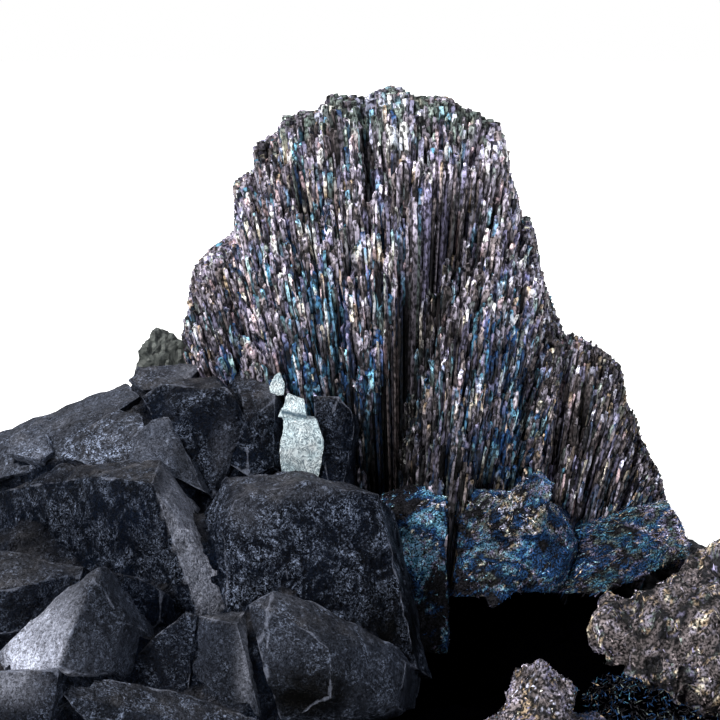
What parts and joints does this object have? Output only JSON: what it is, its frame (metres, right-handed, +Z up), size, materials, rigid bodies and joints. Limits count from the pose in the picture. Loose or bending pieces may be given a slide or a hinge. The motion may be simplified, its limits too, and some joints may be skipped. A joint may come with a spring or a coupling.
{
  "type": "berthierite mineral specimen",
  "caption": "Cabinet mineral specimen: stepped sprays of fine metallic columns on dark matrix with thick tablets and granular crusts, standing on a flat sawn foot.",
  "frame": {"origin": "under the middle of the specimen, on the plane of its sawn foot", "axes": "+Z up along the tall spray, +X to the right spray's side, -Y to the front, where the tall spray's valley opens"},
  "size_m": [0.1228, 0.0849, 0.0742],
  "materials": {
    "matrix_rock": "dark broken rock, sawn flat underneath",
    "tarnished_columns": "steel grey metallic columns with an iridescent pink, gold and blue tarnish",
    "blue_tarnish": "fine granular crystal crust with a blue tarnish",
    "dark_tablet": "near-black tablets with pale worn rims",
    "bright_crystal": "bright silvery crackled crystal faces",
    "grey_crystal": "dull grey-green crystal",
    "brown_crust": "rough brown-grey crust with tan flecks"
  },
  "bodies": {
    "root": {"matrix": "matrix_rock", "tall_spray": "tarnished_columns", "right_spray": "tarnished_columns", "ledge_bundle": "blue_tarnish", "blue_crust": "blue_tarnish", "tabular_crystals": "dark_tablet", "silver_crystal": "bright_crystal", "rear_crystal": "grey_crystal", "brown_crust": "brown_crust", "front_crust": "brown_crust"}
  },
  "joints": []
}
